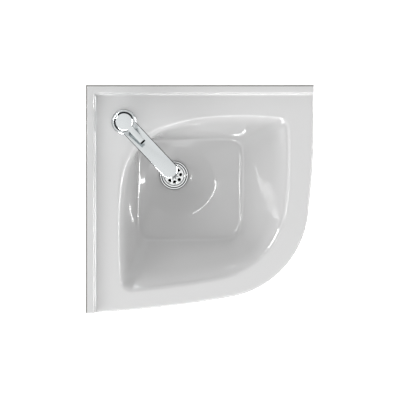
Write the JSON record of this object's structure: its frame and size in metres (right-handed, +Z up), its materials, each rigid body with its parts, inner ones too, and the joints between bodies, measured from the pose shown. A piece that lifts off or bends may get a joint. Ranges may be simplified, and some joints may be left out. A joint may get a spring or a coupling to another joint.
{
  "type": "corner basin",
  "caption": "Wall-hung corner basin with a rounded front, raised wall edges, single-lever mixer tap and grid waste.",
  "frame": {"origin": "the room's corner, where the two wall faces of the basin meet, at the height of the deck's top", "axes": "+Z up; +Y into the back wall; -X into the side wall; the basin lies in +X, -Y"},
  "size_m": [0.5, 0.5, 0.352],
  "materials": {
    "glazed_china": "gloss white vitreous china glaze",
    "chromed_brass": "polished chrome plate",
    "chromed_zinc": "polished chrome plate",
    "stainless_steel": "turned stainless steel",
    "black_rubber": "matt moulded rubber",
    "white_acetal": "moulded acetal",
    "grey_acetal": "moulded acetal",
    "alumina_disc": "lapped alumina",
    "bare_brass": "machined brass",
    "zinc_plated_steel": "pressed steel, zinc plated",
    "chromed_plastic": "bare grey plug"
  },
  "bodies": {
    "basin": {"basin_body": "glazed_china", "waste_grid": "chromed_brass", "waste_screw": "stainless_steel", "waste_top_seal": "black_rubber", "waste_bottom_seal": "black_rubber", "waste_tail": "chromed_brass", "tap_base_seal": "black_rubber", "tap_body": "chromed_brass", "tap_spout": "chromed_brass", "aerator_ring": "chromed_brass", "aerator_insert": "white_acetal", "aerator_washer": "black_rubber", "cartridge_base": "white_acetal", "cartridge_seals": "black_rubber", "fixed_disc": "alumina_disc", "cartridge_housing": "grey_acetal", "cartridge_nut": "bare_brass", "dome_cover": "chromed_brass", "fixing_stud": "bare_brass", "rubber_horseshoe": "black_rubber", "metal_horseshoe": "zinc_plated_steel", "fixing_nut": "bare_brass"},
    "turning_carrier": {"cartridge_carrier": "grey_acetal", "pivot_pin": "stainless_steel"},
    "lever": {"lever_handle": "chromed_zinc", "lever_stem": "bare_brass", "grub_screw": "stainless_steel", "index_plug": "chromed_plastic"},
    "sliding_disc": {"moving_disc": "alumina_disc", "disc_holder": "white_acetal"}
  },
  "joints": [
    {"name": "temperature_turn", "type": "hinge", "parent": "basin", "child": "turning_carrier", "pos_m": [0.0836, -0.0806, 0.104], "axis": [0, 0, 1], "range_deg": [-50, 50]},
    {"name": "lever_lift", "type": "hinge", "parent": "turning_carrier", "child": "lever", "pos_m": [0.0836, -0.0806, 0.104], "axis": [-0.729, -0.6845, 0], "range_deg": [0, 25]},
    {"name": "disc_slide", "type": "slide", "parent": "turning_carrier", "child": "sliding_disc", "axis": [0.6845, -0.729, 0], "range_m": [0, 0.0058]}
  ],
  "couplings": [
    {"joint": "disc_slide", "follows": "lever_lift", "m_per_rad": 0.013}
  ]
}
